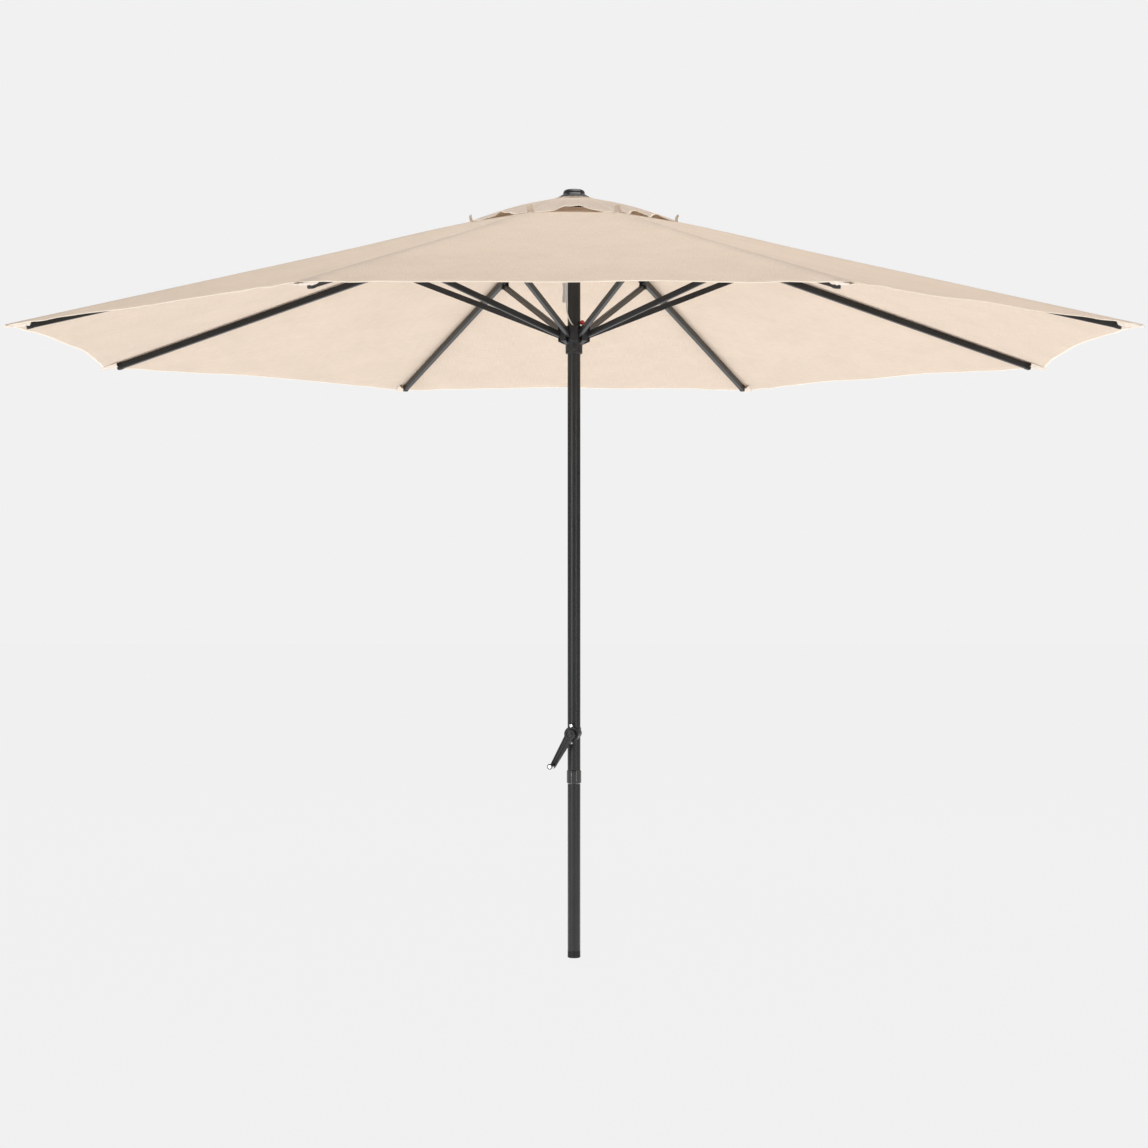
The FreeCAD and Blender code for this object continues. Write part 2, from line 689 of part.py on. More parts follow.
def canopy():
    top = rib_depth / 2 / math.cos(slope) + 3.4

    def height(radius):
        return crown_pivot_z + top - (radius - crown_pivot_r) * math.tan(slope)

    def edge(corner, inset, sag, azimuth):
        middle = corner * math.cos(math.radians(sector / 2)) - inset
        fall = middle / math.cos(math.radians(sector / 2))
        return Part.Arc(polar(corner, azimuth, height(corner)), polar(middle, azimuth + sector / 2, height(fall) - sag),
                        polar(corner, azimuth + sector, height(corner))).toShape()

    hems = [edge(canopy_radius, hem_inset, panel_sag, azimuth) for azimuth in rib_azimuths]
    mouths = [edge(vent_radius, -2.0, 1.0, azimuth) for azimuth in rib_azimuths]
    return sewn_sheet(hems, mouths)


def vent_cap():
    centre_z = total_height - finial_height - fabric - 0.6
    canopy_z = crown_pivot_z + rib_depth / 2 - (cap_radius - crown_pivot_r) * math.tan(slope)
    corner_z = canopy_z + cap_rise
    hems = []
    mouths = []
    for azimuth in rib_azimuths:
        points = []
        for step in range(13):
            share = step / 12.0
            turn = azimuth + sector * share
            chord = cap_radius * math.cos(math.radians(sector / 2)) / math.cos(math.radians(sector * (share - 0.5)))
            bow = math.sin(math.pi * share)
            ripple = math.sin(2 * math.pi * cap_waves * share) * bow
            points.append(polar(chord - cap_inset * bow, turn, corner_z + cap_wave * ripple + 6.0 * bow))
        spline = Part.BSplineCurve()
        spline.interpolate(points)
        hems.append(spline.toShape())
        neck = pole_r + 14.0
        mouths.append(Part.Arc(polar(neck, azimuth, centre_z), polar(neck, azimuth + sector / 2, centre_z),
                               polar(neck, azimuth + sector, centre_z)).toShape())
    return sewn_sheet(hems, mouths)


os.makedirs("parts", exist_ok=True)

lower_pole, upper_pole = pole_lengths()
write("lower_pole", lower_pole)
write("upper_pole", upper_pole)
write("pole_end_cap", end_cap())
write("joint_sleeve", tube_z(bore_r - pole_fit, bore_r - pole_fit - pole_wall, collar_centre - sleeve_reach,
                             collar_centre + sleeve_reach))
write("joint_collar", joint_collar())
write("crown_hub", crown_hub())
write("crown_pins", *crown_pins())
write("finial", finial())
write("pulley", pulley())
write("pulley_pin", pulley_pin())
write("runner", runner())
write("runner_screw", runner_screw())
write("stop_bead", stop_bead())
write("care_tag", care_tag())
write("lift_cord", *lift_cord())
write("crank_housing", crank_housing())
write("crank_rear_cover", crank_rear_cover())
write("housing_screws", *housing_screws())
write("brake_ring", brake_ring())
write("crank_spool", crank_spool())
write("crank_arm", crank_arm())
write("crank_screw", crank_screw())
write("crank_knob", crank_knob())
write("crank_knob_pin", knob_pin())
write("canopy", canopy())
write("vent_cap", vent_cap())

tube = rib_tube()
tip = rib_tip()
bracket, bracket_rivet = rib_bracket()
strut_tube, strut_pin = strut()
for number, azimuth in enumerate(rib_azimuths, 1):
    write("rib_%d" % number, place_rib(tube, azimuth))
    write("rib_tip_%d" % number, place_rib(tip, azimuth))
    write("rib_bracket_%d" % number, place_rib(bracket, azimuth), place_rib(bracket_rivet, azimuth))
    write("strut_%d" % number, place_strut(strut_tube, azimuth), place_strut(strut_pin, azimuth))

print("rib pivot radius %.3f height %.3f length %.3f" % (crown_pivot_r, crown_pivot_z, rib_length))
print("bracket open x %.4f z %.4f" % (open_bracket.x, open_bracket.z))
print("strut length %.4f slope %.4f closed slope %.4f" % (strut_length, math.degrees(strut_slope),
                                                         math.degrees(closed_strut_slope)))
print("runner pivot radius %.3f height %.3f travel %.4f" % (runner_pivot_r, runner_pivot_z, runner_travel))
print("pulley x %.3f z %.3f" % (pulley_x(), crown_pivot_z - pulley_below_pivot))
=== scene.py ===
"""Looks of the crank-lift patio umbrella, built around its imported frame. Lengths are in metres."""
import math
import bpy
import numpy as np
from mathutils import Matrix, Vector


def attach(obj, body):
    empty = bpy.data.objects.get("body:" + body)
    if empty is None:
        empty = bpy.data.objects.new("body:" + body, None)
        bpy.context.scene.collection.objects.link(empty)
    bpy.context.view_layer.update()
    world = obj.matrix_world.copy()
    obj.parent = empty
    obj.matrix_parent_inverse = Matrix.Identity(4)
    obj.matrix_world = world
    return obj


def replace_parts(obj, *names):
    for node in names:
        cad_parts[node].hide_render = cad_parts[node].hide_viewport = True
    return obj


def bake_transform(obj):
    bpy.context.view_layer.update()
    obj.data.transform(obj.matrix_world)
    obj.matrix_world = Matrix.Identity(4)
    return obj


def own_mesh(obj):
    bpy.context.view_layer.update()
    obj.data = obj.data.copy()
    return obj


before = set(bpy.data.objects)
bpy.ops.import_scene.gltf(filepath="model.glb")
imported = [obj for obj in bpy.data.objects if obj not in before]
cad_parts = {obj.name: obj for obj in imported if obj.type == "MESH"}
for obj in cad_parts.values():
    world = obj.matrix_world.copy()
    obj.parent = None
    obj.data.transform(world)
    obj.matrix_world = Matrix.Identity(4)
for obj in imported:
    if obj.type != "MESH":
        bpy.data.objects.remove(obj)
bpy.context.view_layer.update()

# ---- sizes shared with the frame
RIBS = 8
HALF = math.pi / RIBS
CORNER_R = 1.650
HEM_INSET = 0.042
TIP_INSET = 0.056
SLOPE = math.radians(14.83)
DROP = math.tan(SLOPE)
PIVOT_R = 0.042
PIVOT_Z = 2.213
CLOTH_RISE = 0.0146
VENT_R = 0.170
CAP_R = 0.325
CAP_IN = 0.040
CROWN_Z = 2.2414             # vent cap under the finial
PATCH_IN = 0.0335
PATCH_OUT = 0.0620
RUNNER_TOP = 1.865
GROOVE_Z = 1.842              # cord's way inside the runner
CRANK_Z = 0.662
CRANK_AZIMUTH = math.radians(-106.0)
DRUM_R = 0.0091               # cord's centre line on the drum
PULLEY_X = -0.010
PULLEY_Z = 2.165
PULLEY_R = 0.012
CORD_R = 0.002
CORD_X = PULLEY_X - PULLEY_R  # outer run of the cord
WRAP_TOP = RUNNER_TOP + 0.060
TAG_TOP = 1.995
TAG_SIZE = (0.014, 0.058)
CAMERA_AWAY = 6.68
CAMERA_HIGH = 1.134


# ---- camera, light and floor
def add_camera():
    data = bpy.data.cameras.new("camera")
    data.lens = 70.8
    data.sensor_width = 36.0
    data.clip_end = 200.0
    camera = bpy.data.objects.new("camera", data)
    camera.location = (0.0, -CAMERA_AWAY, CAMERA_HIGH)
    camera.rotation_euler = (math.pi / 2, 0.0, 0.0)
    bpy.context.scene.collection.objects.link(camera)
    bpy.context.scene.camera = camera


def add_softbox(name, place, aim, size, watts, seen=True):
    data = bpy.data.lights.new(name, "AREA")
    data.shape = "RECTANGLE"
    data.size, data.size_y = size
    data.energy = watts
    lamp = bpy.data.objects.new(name, data)
    lamp.location = place
    lamp.rotation_euler = (Vector(aim) - Vector(place)).to_track_quat("-Z", "Y").to_euler()
    lamp.visible_camera = seen
    bpy.context.scene.collection.objects.link(lamp)


def set_world():
    bpy.context.scene.view_settings.view_transform = "Standard"
    world = bpy.data.worlds.new("studio")
    bpy.context.scene.world = world
    world.use_nodes = True
    tree = world.node_tree
    back = tree.nodes["Background"]
    back.inputs["Color"].default_value = (0.879, 0.879, 0.879, 1)
    back.inputs["Strength"].default_value = 1.0
    around = tree.nodes.new("ShaderNodeBackground")
    around.inputs["Color"].default_value = (0.80, 0.79, 0.77, 1)
    around.inputs["Strength"].default_value = 0.40
    ray = tree.nodes.new("ShaderNodeLightPath")
    mix = tree.nodes.new("ShaderNodeMixShader")
    tree.links.new(ray.outputs["Is Camera Ray"], mix.inputs[0])
    tree.links.new(around.outputs[0], mix.inputs[1])
    tree.links.new(back.outputs[0], mix.inputs[2])
    tree.links.new(mix.outputs[0], tree.nodes["World Output"].inputs["Surface"])


def add_floor():
    bpy.ops.mesh.primitive_plane_add(size=60.0, location=(0, 0, -0.0005))
    floor = bpy.context.object
    floor.name = "floor"
    mat = bpy.data.materials.new("floor_white")
    mat.use_nodes = True
    tree = mat.node_tree
    shine = tree.nodes["Principled BSDF"]
    shine.inputs["Base Color"].default_value = (0.86, 0.86, 0.86, 1)
    shine.inputs["Roughness"].default_value = 0.9
    glow = tree.nodes.new("ShaderNodeEmission")
    glow.inputs["Color"].default_value = (0.879, 0.879, 0.879, 1)
    mix = tree.nodes.new("ShaderNodeMixShader")
    mix.inputs[0].default_value = 0.985
    tree.links.new(shine.outputs[0], mix.inputs[1])
    tree.links.new(glow.outputs[0], mix.inputs[2])
    tree.links.new(mix.outputs[0], tree.nodes["Material Output"].inputs["Surface"])
    floor.data.materials.append(mat)


# ---- materials
class Maker:
    """Small helper for building a node tree around one Principled shader."""

    def __init__(self, name):
        self.mat = bpy.data.materials.new(name)
        self.mat.use_nodes = True
        self.tree = self.mat.node_tree
        self.shader = self.tree.nodes["Principled BSDF"]

    def node(self, kind, **values):
        made = self.tree.nodes.new(kind)
        for key, value in values.items():
            if key in made.inputs:
                made.inputs[key].default_value = value
            else:
                setattr(made, key, value)
        return made

    def link(self, a, b):
        self.tree.links.new(a, b)

    def set(self, **values):
        for key, value in values.items():
            self.shader.inputs[key.replace("_", " ")].default_value = value

    def noise(self, scale, detail=3.0, rough=0.55, vector=None):
        made = self.node("ShaderNodeTexNoise", Scale=scale, Detail=detail, Roughness=rough)
        self.link(vector or self.place(), made.inputs["Vector"])
        return made.outputs["Fac"]

    def place(self):
        if not hasattr(self, "_place"):
            self._place = self.node("ShaderNodeTexCoord").outputs["Object"]
        return self._place

    def ramp(self, value, low, high, start=0.0, end=1.0):
        made = self.node("ShaderNodeMapRange")
        for key, number in (("From Min", start), ("From Max", end), ("To Min", low), ("To Max", high)):
            made.inputs[key].default_value = number
        self.link(value, made.inputs["Value"])
        return made.outputs["Result"]

    def mixed(self, share, a, b):
        """Colour a where share is 0 and b where it is 1; each is three numbers or a socket."""
        made = self.node("ShaderNodeMix", data_type="RGBA")
        self.link(share, made.inputs[0])
        for slot, value in ((6, a), (7, b)):
            if isinstance(value, tuple):
                made.inputs[slot].default_value = (*value, 1)
            else:
                self.link(value, made.inputs[slot])
        return made.outputs[2]

    def math(self, how, a, b=None, c=None):
        made = self.node("ShaderNodeMath", operation=how)
        for slot, value in enumerate((a, b, c)):
            if value is None:
                continue
            if isinstance(value, (int, float)):
                made.inputs[slot].default_value = value
            else:
                self.link(value, made.inputs[slot])
        return made.outputs["Value"]

    def bump(self, height, strength, distance):
        made = self.node("ShaderNodeBump", Strength=strength, Distance=distance)
        self.link(height, made.inputs["Height"])
        if hasattr(self, "_bump"):
            self.link(self._bump, made.inputs["Normal"])
        self._bump = made.outputs["Normal"]
        self.link(self._bump, self.shader.inputs["Normal"])


def plain(name, dark, light, rough, metal=0.0, speckle=900.0, grain=0.12, cloud=14.0, coat=0.0, drawn=None,
          mirror=0.5):
    """Painted, moulded or metal surface: cloudy tone, grain, uneven roughness, rubbed edges, some dust."""
    m = Maker(name)
    cloudy = m.noise(cloud, 4.0, 0.6)
    colour = m.mixed(m.ramp(cloudy, 0, 1, 0.35, 0.65), dark, light)
    surface = m.node("ShaderNodeNewGeometry")
    rounded = m.node("ShaderNodeBevel", samples=4, Radius=0.0007)
    m._bump = rounded.outputs["Normal"]
    turned_away = m.node("ShaderNodeVectorMath", operation="DOT_PRODUCT")
    m.link(rounded.outputs["Normal"], turned_away.inputs[0])
    m.link(surface.outputs["Normal"], turned_away.inputs[1])
    patchy = m.noise(120.0, 3.0, 0.6)
    edge = m.ramp(turned_away.outputs["Value"], 0.5, 0.0, 0.86, 0.99)
    rubbed = m.math("MULTIPLY", edge, m.ramp(patchy, 0, 1, 0.4, 0.6))
    colour = m.mixed(rubbed, colour, tuple(min(1.0, 0.03 + 1.5 * c) for c in light))
    facing = m.node("ShaderNodeSeparateXYZ")
    m.link(surface.outputs["Normal"], facing.inputs[0])
    upward = m.ramp(facing.outputs["Z"], 0, 0.04, 0.5, 1.0)
    settled = m.math("MULTIPLY", upward, m.ramp(m.noise(35.0, 5.0, 0.7), 0, 1, 0.45, 0.7))
    m.link(m.mixed(settled, colour, (0.42, 0.39, 0.35)), m.shader.inputs["Base Color"])
    fine = m.noise(speckle, 2.0, 0.5)
    blend = m.math("ADD", m.ramp(cloudy, rough[0], rough[1], 0.3, 0.7), m.ramp(fine, -0.03, 0.03, 0.3, 0.7))
    m.link(m.math("ADD", blend, m.math("MULTIPLY", settled, 1.5)), m.shader.inputs["Roughness"])
    m.set(Metallic=metal, Coat_Weight=coat, Coat_Roughness=0.12, Specular_IOR_Level=mirror)
    if drawn:
        stretched = m.node("ShaderNodeMapping")
        stretched.inputs["Scale"].default_value = drawn
        m.link(m.place(), stretched.inputs["Vector"])
        m.bump(m.noise(300.0, 3.0, 0.6, stretched.outputs["Vector"]), 0.2, 0.0004)
    m.bump(fine, grain, 0.0006)
    return m.mat


def cloth(name, dark, light, weave=0.0011, stitched=True, sheer=0.42, rough=0.92):
    """Woven cloth: crossed threads with painted shade between them, slubs, faint mottling, sewn lines near seams
    and hems, soft sheen.
    """
    m = Maker(name)
    uv = m.node("ShaderNodeUVMap", uv_map="cloth").outputs["UV"]
    split = m.node("ShaderNodeSeparateXYZ")
    m.link(uv, split.inputs[0])
    across, along = split.outputs["X"], split.outputs["Y"]
    edge = m.node("ShaderNodeUVMap", uv_map="edge").outputs["UV"]
    parts = m.node("ShaderNodeSeparateXYZ")
    m.link(edge, parts.inputs[0])
    from_rib, from_hem = parts.outputs["X"], parts.outputs["Y"]

    def threads(coordinate, period):
        return m.math("SINE", m.math("MULTIPLY", coordinate, 2 * math.pi / period))

    warp = threads(across, weave)
    weft = threads(along, weave)
    woven = m.math("MULTIPLY", warp, weft)
    slub_map = m.node("ShaderNodeMapping")
    slub_map.inputs["Scale"].default_value = (500.0, 18.0, 1.0)
    m.link(uv, slub_map.inputs["Vector"])
    slub = m.noise(1.0, 2.0, 0.5, slub_map.outputs["Vector"])
    slub_map_2 = m.node("ShaderNodeMapping")
    slub_map_2.inputs["Scale"].default_value = (18.0, 500.0, 1.0)
    m.link(uv, slub_map_2.inputs["Vector"])
    slub_2 = m.noise(1.0, 2.0, 0.5, slub_map_2.outputs["Vector"])
    mottle = m.noise(7.0, 5.0, 0.6)
    tone = m.math("ADD", m.ramp(mottle, -0.09, 0.09, 0.35, 0.65), 0.5)
    tone = m.math("ADD", tone, m.ramp(m.math("ADD", slub, slub_2), -0.22, 0.22, 0.8, 1.2))
    # painted shade: the tone follows the weave's height, a little darker between the threads
    tone = m.math("ADD", tone, m.ramp(woven, -0.12, 0.12, -1.0, 1.0))
    colour = m.mixed(tone, dark, light)
    height = m.math("ADD", m.math("MULTIPLY", woven, 0.5), m.math("ADD", slub, slub_2))
    m.bump(height, 0.22, 0.0005)
    if stitched:
        stitch = None
        for line in (0.0045, 0.0085):
            near = m.math("COMPARE", from_rib, line, 0.0006)
            dash = m.math("GREATER_THAN", threads(along, 0.0045), -0.35)
            one = m.math("MULTIPLY", near, dash)
            stitch = one if stitch is None else m.math("ADD", stitch, one)
        for line in (0.0035, 0.0205):
            near = m.math("COMPARE", from_hem, line, 0.0006)
            dash = m.math("GREATER_THAN", threads(across, 0.0045), -0.35)
            stitch = m.math("ADD", stitch, m.math("MULTIPLY", near, dash))
        thread = (light[0] * 1.08, light[1] * 1.1, light[2] * 1.12)
        colour = m.mixed(m.math("MINIMUM", stitch, 1.0), colour, thread)
        m.bump(stitch, 0.5, 0.0006)
        bound = (light[0] * 1.14, light[1] * 1.22, light[2] * 1.28)
        colour = m.mixed(m.math("LESS_THAN", from_hem, 0.0048), colour, bound)
    m.link(colour, m.shader.inputs["Base Color"])
    m.set(Roughness=rough, Sheen_Weight=0.25, Sheen_Roughness=0.6)
    if sheer:
        through = m.node("ShaderNodeBsdfTranslucent")
        m.link(colour, through.inputs["Color"])
        m.link(m._bump, through.inputs["Normal"])
        mix = m.node("ShaderNodeMixShader")
        mix.inputs[0].default_value = sheer
        m.link(m.shader.outputs[0], mix.inputs[1])
        m.link(through.outputs[0], mix.inputs[2])
        m.link(mix.outputs[0], m.tree.nodes["Material Output"].inputs["Surface"])
    return m.mat


def braid(name, dark, light):
    """Braided cord: slanted strands crossing round it, with painted shade in the grooves between them."""
    m = Maker(name)
    uv = m.node("ShaderNodeUVMap", uv_map="cloth").outputs["UV"]
    split = m.node("ShaderNodeSeparateXYZ")
    m.link(uv, split.inputs[0])
    turn = m.math("MULTIPLY", split.outputs["X"], 6 * math.pi)
    run = m.math("MULTIPLY", split.outputs["Y"], 2 * math.pi / 0.0034)
    left = m.math("SINE", m.math("ADD", turn, run))
    right = m.math("SINE", m.math("SUBTRACT", turn, run))
    strand = m.math("MAXIMUM", left, right)
    # painted shade: colour follows the strand height, darker in the grooves between strands
    m.link(m.mixed(m.ramp(strand, 0, 1, -0.3, 1.0), dark, light), m.shader.inputs["Base Color"])
    m.set(Roughness=0.85)
    m.bump(strand, 0.5, 0.0005)
    return m.mat


# ---- mesh helpers
def add_mesh(name, points, faces, material, uvs=None, edges=None, smooth=True):
    mesh = bpy.data.meshes.new(name)
    mesh.from_pydata([tuple(p) for p in points], [], faces)
    mesh.materials.append(material)
    for layer, values in (("cloth", uvs), ("edge", edges)):
        if values is None:
            continue
        made = mesh.uv_layers.new(name=layer)
        for loop in mesh.loops:
            made.data[loop.index].uv = values[loop.vertex_index]
    if smooth:
        mesh.polygons.foreach_set("use_smooth", [True] * len(mesh.polygons))
    mesh.update()
    piece = bpy.data.objects.new(name, mesh)
    bpy.context.scene.collection.objects.link(piece)
    return piece


def grid_faces(rows, columns, start=0, flip=False, wrap=False):
    faces = []
    for i in range(rows - 1):
        for j in range(columns if wrap else columns - 1):
            k = (j + 1) % columns
            near, far = start + i * columns, start + (i + 1) * columns
            quad = [near + j, near + k, far + k, far + j]
            faces.append(quad[::-1] if flip else quad)
    return faces


def two_layers(name, upper, lower, uvs, edges, material):
    """Thin closed sheet from two grids of points, (rows, columns, 3), with its rim closed."""
    rows, columns = upper.shape[:2]
    count = rows * columns
    points = np.concatenate([upper.reshape(-1, 3), lower.reshape(-1, 3)])
    faces = grid_faces(rows, columns) + grid_faces(rows, columns, count, True)
    rim = [(0, j) for j in range(columns)] + [(i, columns - 1) for i in range(1, rows)]
    rim += [(rows - 1, j) for j in range(columns - 2, -1, -1)] + [(i, 0) for i in range(rows - 2, 0, -1)]
    index = [i * columns + j for i, j in rim]
    for a, b in zip(index, index[1:] + index[:1]):
        faces.append([b, a, a + count, b + count])
    both = np.concatenate([uvs.reshape(-1, 2), uvs.reshape(-1, 2)])
    side = np.concatenate([edges.reshape(-1, 2), edges.reshape(-1, 2)])
    piece = add_mesh(name, points, faces, material, both, side)
    rim_edges = {frozenset((a + k, b + k)) for a, b in zip(index, index[1:] + index[:1]) for k in (0, count)}
    for edge in piece.data.edges:
        if frozenset(edge.vertices) in rim_edges:
            edge.use_edge_sharp = True
    return piece


def tube(name, line, radius, material, sides=14):
    """Round cord or wire along a line of points."""
    line = np.array(line, float)
    heading = np.gradient(line, axis=0)
    heading /= np.linalg.norm(heading, axis=1)[:, None]
    side = np.cross(heading[0], (0.3, 0.9, 0.2))
    rings, uvs, run = [], [], 0.0
    for i, (point, ahead) in enumerate(zip(line, heading)):
        side = side - ahead * side.dot(ahead)
        side /= np.linalg.norm(side)
        other = np.cross(ahead, side)
        run += np.linalg.norm(point - line[i - 1]) if i else 0.0
        for j in range(sides):
            turn = 2 * math.pi * j / sides
            rings.append(point + radius * (math.cos(turn) * side + math.sin(turn) * other))
            uvs.append((j / sides, run))
    count = len(line)
    faces = grid_faces(count, sides, 0, False, True)
    faces.append(list(range(sides))[::-1])
    faces.append([(count - 1) * sides + j for j in range(sides)])
    return add_mesh(name, rings, faces, material, uvs)


def turned(points, azimuth):
    """Points turned about the pole's axis."""
    c, s = math.cos(azimuth), math.sin(azimuth)
    out = np.array(points, float)
    x, y = out[..., 0].copy(), out[..., 1].copy()
    out[..., 0] = c * x - s * y
    out[..., 1] = s * x + c * y
    return out


# ---- canopy
def cloth_height(distance):
    """Height of the flat panel over the ribs, from the distance along the rib direction."""
    return PIVOT_Z + CLOTH_RISE - (distance - PIVOT_R) * DROP


def canopy_height(panel, a, t):
    """Cloth height in a panel: a is the distance out along its middle line, t runs -1..1 across it."""
    reach = a / math.cos(HALF)
    out = reach / CORNER_R
    bow = 1 - t * t
    height = cloth_height(reach) - 0.006 * bow * np.clip(out, 0, 1) ** 1.5
    height = height + 0.004 * np.exp(-((reach - 0.42) / 0.22) ** 2)
    seed = panel * 1.7
    edge = np.clip((out - 0.55) / 0.45, 0, 1)
    height = height + 0.0016 * np.sin(7.0 * t + 9.0 * out + seed) * bow * out
    height = height + 0.0012 * np.sin(3 * math.pi * t + seed * 2.3) * bow * edge ** 2
    for side in (-1, 1):
        near = np.clip(1 - np.abs(t - side) / 0.55, 0, 1)
        pull = np.sin(26.0 * (1 - np.abs(t)) ** 0.8 - 5.0 * out + seed + side)
        height = height + 0.0022 * pull * near ** 2 * (1 - near) * edge * 4
    ridge = np.clip(1 - (1 - np.abs(t)) * a * math.tan(HALF) / 0.016, 0, 1)
    return height + 0.0010 * ridge


def panel_frame(a, t, z):
    return np.stack([a, a * math.tan(HALF) * t, z], axis=-1)


def rib_axes(rib):
    """Directions in the row frame at a rib: along it, across it anticlockwise, and up out of it."""
    azimuth = HALF + 2 * HALF * (rib - 1)
    along = Vector((math.cos(azimuth) * math.cos(SLOPE), math.sin(azimuth) * math.cos(SLOPE), -math.sin(SLOPE)))
    across = Vector((-math.sin(azimuth), math.cos(azimuth), 0))
    return azimuth, along, across, along.cross(across)


def fold_with_rib(piece, rib, panel, side):
    """The piece moves with its rib."""
    azimuth, along, across, _ = rib_axes(rib)
    middle = 2 * HALF * panel
    tilt = math.atan(DROP / math.cos(HALF))
    normal = Vector((math.sin(tilt) * math.cos(middle), math.sin(tilt) * math.sin(middle), math.cos(tilt)))
    inward = normal.cross(along) if normal.cross(along).dot(across * -side) > 0 else along.cross(normal)
    inward.normalize()
    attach(piece, "rib_%d" % rib)
    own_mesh(piece)


def rib_of(panel, side):
    return (panel if side < 0 else panel + 1) or RIBS


def half_panel_grid(rows, columns, side):
    s = np.linspace(0, 1, rows) ** 0.9
    t = np.linspace(0, 1, columns) ** 0.85 * side
    return np.meshgrid(s, t, indexing="ij")


def sector_area(outer, inner):
    """Area of half a panel, seen from above, between two corner radii."""
    return 0.5 * math.tan(HALF) * ((outer * math.cos(HALF)) ** 2 - (inner * math.cos(HALF)) ** 2)


def canopy_half(panel, side, material):
    s, t = half_panel_grid(64, 30, side)
    a_in = VENT_R * math.cos(HALF) + 0.002 * (1 - t * t)
    hem_wave = 0.0012 * np.sin(9 * t + panel * 2.1) * (1 - t * t)
    a_out = CORNER_R * math.cos(HALF) - HEM_INSET * (1 - t * t) + hem_wave
    a = a_in + (a_out - a_in) * s
    z = canopy_height(panel, a, t)
    upper = panel_frame(a, t, z)
    from_hem = (a_out - a)
    thick = 0.0007 + 0.0011 * (from_hem < 0.024) + 0.0006 * (a - a_in < 0.02)
    lower = upper.copy()
    lower[..., 2] -= thick
    across = a * math.tan(HALF) * (1 - np.abs(t)) * math.cos(HALF)
    uvs = np.stack([a * math.tan(HALF) * t, a], axis=-1)
    edges = np.stack([across, from_hem], axis=-1)
    if side < 0:
        upper, lower, uvs, edges = upper[:, ::-1], lower[:, ::-1], uvs[:, ::-1], edges[:, ::-1]
    turn = 2 * HALF * panel
    name = "canopy_%d_%s" % (panel + 1, "a" if side > 0 else "b")
    piece = two_layers(name, turned(upper, turn), turned(lower, turn), uvs, edges, material)
    rib = rib_of(panel, side)
    fold_with_rib(piece, rib, panel, side)
    area = sector_area(CORNER_R, VENT_R) / math.cos(SLOPE)
    area -= HEM_INSET * (2 / 3) * CORNER_R * math.sin(HALF)
    return piece


# ---- vent cap
CAP_RISE = 0.006
CAP_LIFT = (0.013, 0.016, 0.012, 0.018, 0.014, 0.016, 0.021, 0.016)
CAP_PHASE = (0.4, 1.9, 2.6, 0.9, 3.3, 0.3, 0.1, 2.4)
CAP_FOLDS = (2.1, 1.6, 2.2, 1.4, 2.3, 1.5, 1.3, 2.6)


def cap_height(panel, s, t):
    """Vent cap: s runs 0..1 from the finial to the hem, t runs -1..1 across the panel."""
    corner = float(cloth_height(CAP_R)) + CAP_RISE
    height = CROWN_Z + (corner - CROWN_Z) * s + 0.011 * np.sin(math.pi * s ** 0.85)
    bow = 1 - t * t
    loose = s ** 2.2
    lift = CAP_LIFT[panel] * bow * (0.50 + 0.50 * np.cos(math.pi * CAP_FOLDS[panel] * t + CAP_PHASE[panel]))
    small = 0.0018 * np.sin(15 * t + 2 * panel) * bow
    drape = 0.0012 * np.sin(8 * t + 5 * s + panel) * bow * s
    return height + loose * (lift + small) + drape


def cap_half(panel, side, material):
    s, t = half_panel_grid(34, 26, side)
    a_in = CAP_IN * math.cos(HALF)
    fold = np.cos(math.pi * CAP_FOLDS[panel] * t + CAP_PHASE[panel] + 0.8)
    a_out = CAP_R * math.cos(HALF) - (1 - t * t) * (0.010 + 0.008 * fold)
    a = a_in + (a_out - a_in) * s
    upper = panel_frame(a, t, cap_height(panel, s, t))
    lower = upper.copy()
    from_hem = a_out - a
    lower[..., 2] -= 0.0007 + 0.0010 * (from_hem < 0.016)
    across = a * math.tan(HALF) * (1 - np.abs(t)) * math.cos(HALF)
    uvs = np.stack([a * math.tan(HALF) * t, a], axis=-1)
    edges = np.stack([across, from_hem], axis=-1)
    if side < 0:
        upper, lower, uvs, edges = upper[:, ::-1], lower[:, ::-1], uvs[:, ::-1], edges[:, ::-1]
    turn = 2 * HALF * panel
    name = "vent_cap_%d_%s" % (panel + 1, "a" if side > 0 else "b")
    piece = two_layers(name, turned(upper, turn), turned(lower, turn), uvs, edges, material)
    rib = rib_of(panel, side)
    fold_with_rib(piece, rib, panel, side)
    return piece


def cap_patch(material):
    """Round reinforcing patch held under the finial."""
    turn = np.linspace(0, 2 * math.pi, 97)
    reach = np.linspace(PATCH_IN, PATCH_OUT, 9)
    r, a = np.meshgrid(reach, turn, indexing="ij")
    z = CROWN_Z + 0.0012 - 0.06 * np.clip(r - 0.049, 0, 1) + 0.0005 * np.sin(24 * a) * (r > 0.051)
    upper = np.stack([r * np.cos(a), r * np.sin(a), z], axis=-1)
    lower = upper.copy()
    lower[..., 2] -= 0.0011
    uvs = np.stack([r * np.cos(a), r * np.sin(a)], axis=-1)
    edges = np.stack([r - PATCH_IN + 0.03, PATCH_OUT - r], axis=-1)
    piece = two_layers("vent_cap_patch", upper, lower, uvs, edges, material)
    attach(piece, "pole")
    return piece


# ---- sewn pieces that go with each rib
def cloth_beside(rib, reach, across):
    """Cloth height beside a rib, from the distance along it (seen from above) and across it."""
    away = np.abs(across)
    a = reach * math.cos(HALF) + away * math.sin(HALF)
    lateral = reach * math.sin(HALF) - away * math.cos(HALF)
    t = np.clip(lateral / (a * math.tan(HALF)), 0, 1)
    left = canopy_height(rib % RIBS, a, -t)
    right = canopy_height(rib - 1, a, t)
    return np.where(across > 0, left, right)


